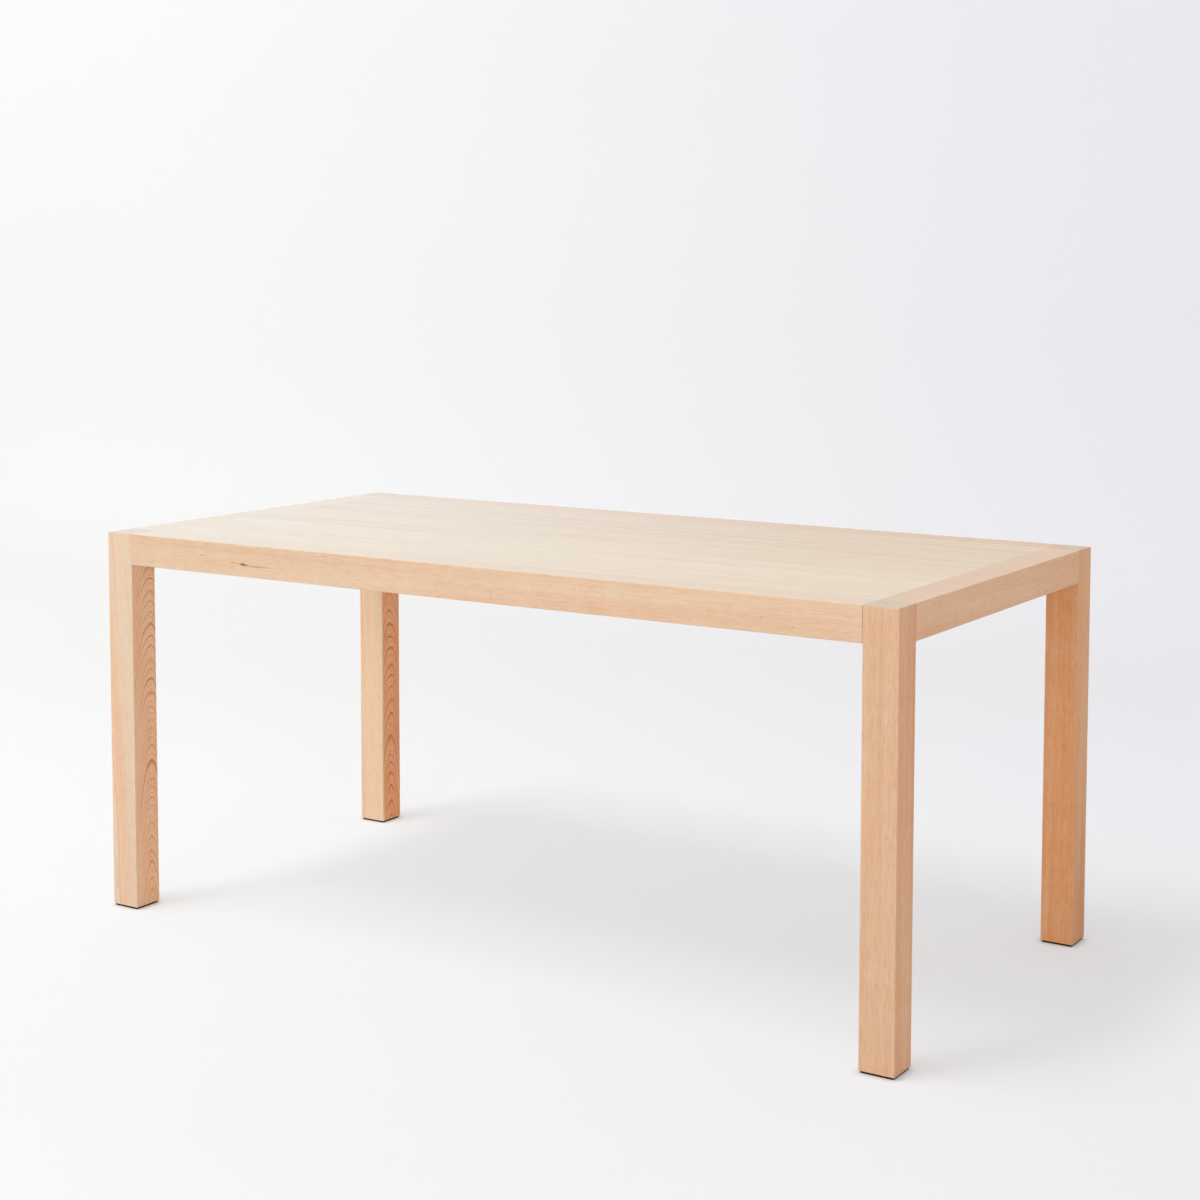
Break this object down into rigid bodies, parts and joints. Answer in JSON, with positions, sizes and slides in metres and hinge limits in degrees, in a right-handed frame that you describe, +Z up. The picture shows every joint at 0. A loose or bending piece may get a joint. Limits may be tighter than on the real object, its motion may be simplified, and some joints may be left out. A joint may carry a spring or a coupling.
{
  "type": "banquet table",
  "caption": "Long dining table in pale wood: square full-height legs and flush rails frame an inset board top, on thin felt pads.",
  "frame": {"origin": "on the floor, under the middle of the top", "axes": "+X along the length, +Y towards the back long side, +Z up"},
  "size_m": [1.7, 0.85, 0.75],
  "materials": {
    "maple_frame": "clear satin oil on maple legs and rails",
    "maple_panel": "clear satin oil on maple boards",
    "maple_inner": "bare planed maple",
    "zinc_screw": "bright zinc plating",
    "felt_pad": "dark brown pressed felt"
  },
  "bodies": {
    "root": {"front_left_leg": "maple_frame", "front_right_leg": "maple_frame", "back_right_leg": "maple_frame", "back_left_leg": "maple_frame", "front_rail": "maple_frame", "right_rail": "maple_frame", "back_rail": "maple_frame", "left_rail": "maple_frame", "top_board_1": "maple_panel", "top_board_2": "maple_panel", "top_board_3": "maple_panel", "top_board_4": "maple_panel", "top_board_5": "maple_panel", "top_board_6": "maple_panel", "top_board_7": "maple_panel", "top_board_8": "maple_panel", "front_cleat": "maple_inner", "right_cleat": "maple_inner", "back_cleat": "maple_inner", "left_cleat": "maple_inner", "bearer_1": "maple_inner", "bearer_2": "maple_inner", "bearer_3": "maple_inner", "front_left_pad": "felt_pad", "front_right_pad": "felt_pad", "back_right_pad": "felt_pad", "back_left_pad": "felt_pad", "front_cleat_screw_1": "zinc_screw", "front_cleat_screw_2": "zinc_screw", "front_cleat_screw_3": "zinc_screw", "front_cleat_screw_4": "zinc_screw", "right_cleat_screw_1": "zinc_screw", "right_cleat_screw_2": "zinc_screw", "right_cleat_screw_3": "zinc_screw", "back_cleat_screw_1": "zinc_screw", "back_cleat_screw_2": "zinc_screw", "back_cleat_screw_3": "zinc_screw", "back_cleat_screw_4": "zinc_screw", "left_cleat_screw_1": "zinc_screw", "left_cleat_screw_2": "zinc_screw", "left_cleat_screw_3": "zinc_screw", "bearer_1_front_screw": "zinc_screw", "bearer_1_back_screw": "zinc_screw", "panel_screw_1_1": "zinc_screw", "panel_screw_1_5": "zinc_screw", "panel_screw_1_8": "zinc_screw", "bearer_2_front_screw": "zinc_screw", "bearer_2_back_screw": "zinc_screw", "panel_screw_2_1": "zinc_screw", "panel_screw_2_5": "zinc_screw", "panel_screw_2_8": "zinc_screw", "bearer_3_front_screw": "zinc_screw", "bearer_3_back_screw": "zinc_screw", "panel_screw_3_1": "zinc_screw", "panel_screw_3_5": "zinc_screw", "panel_screw_3_8": "zinc_screw"}
  },
  "joints": []
}
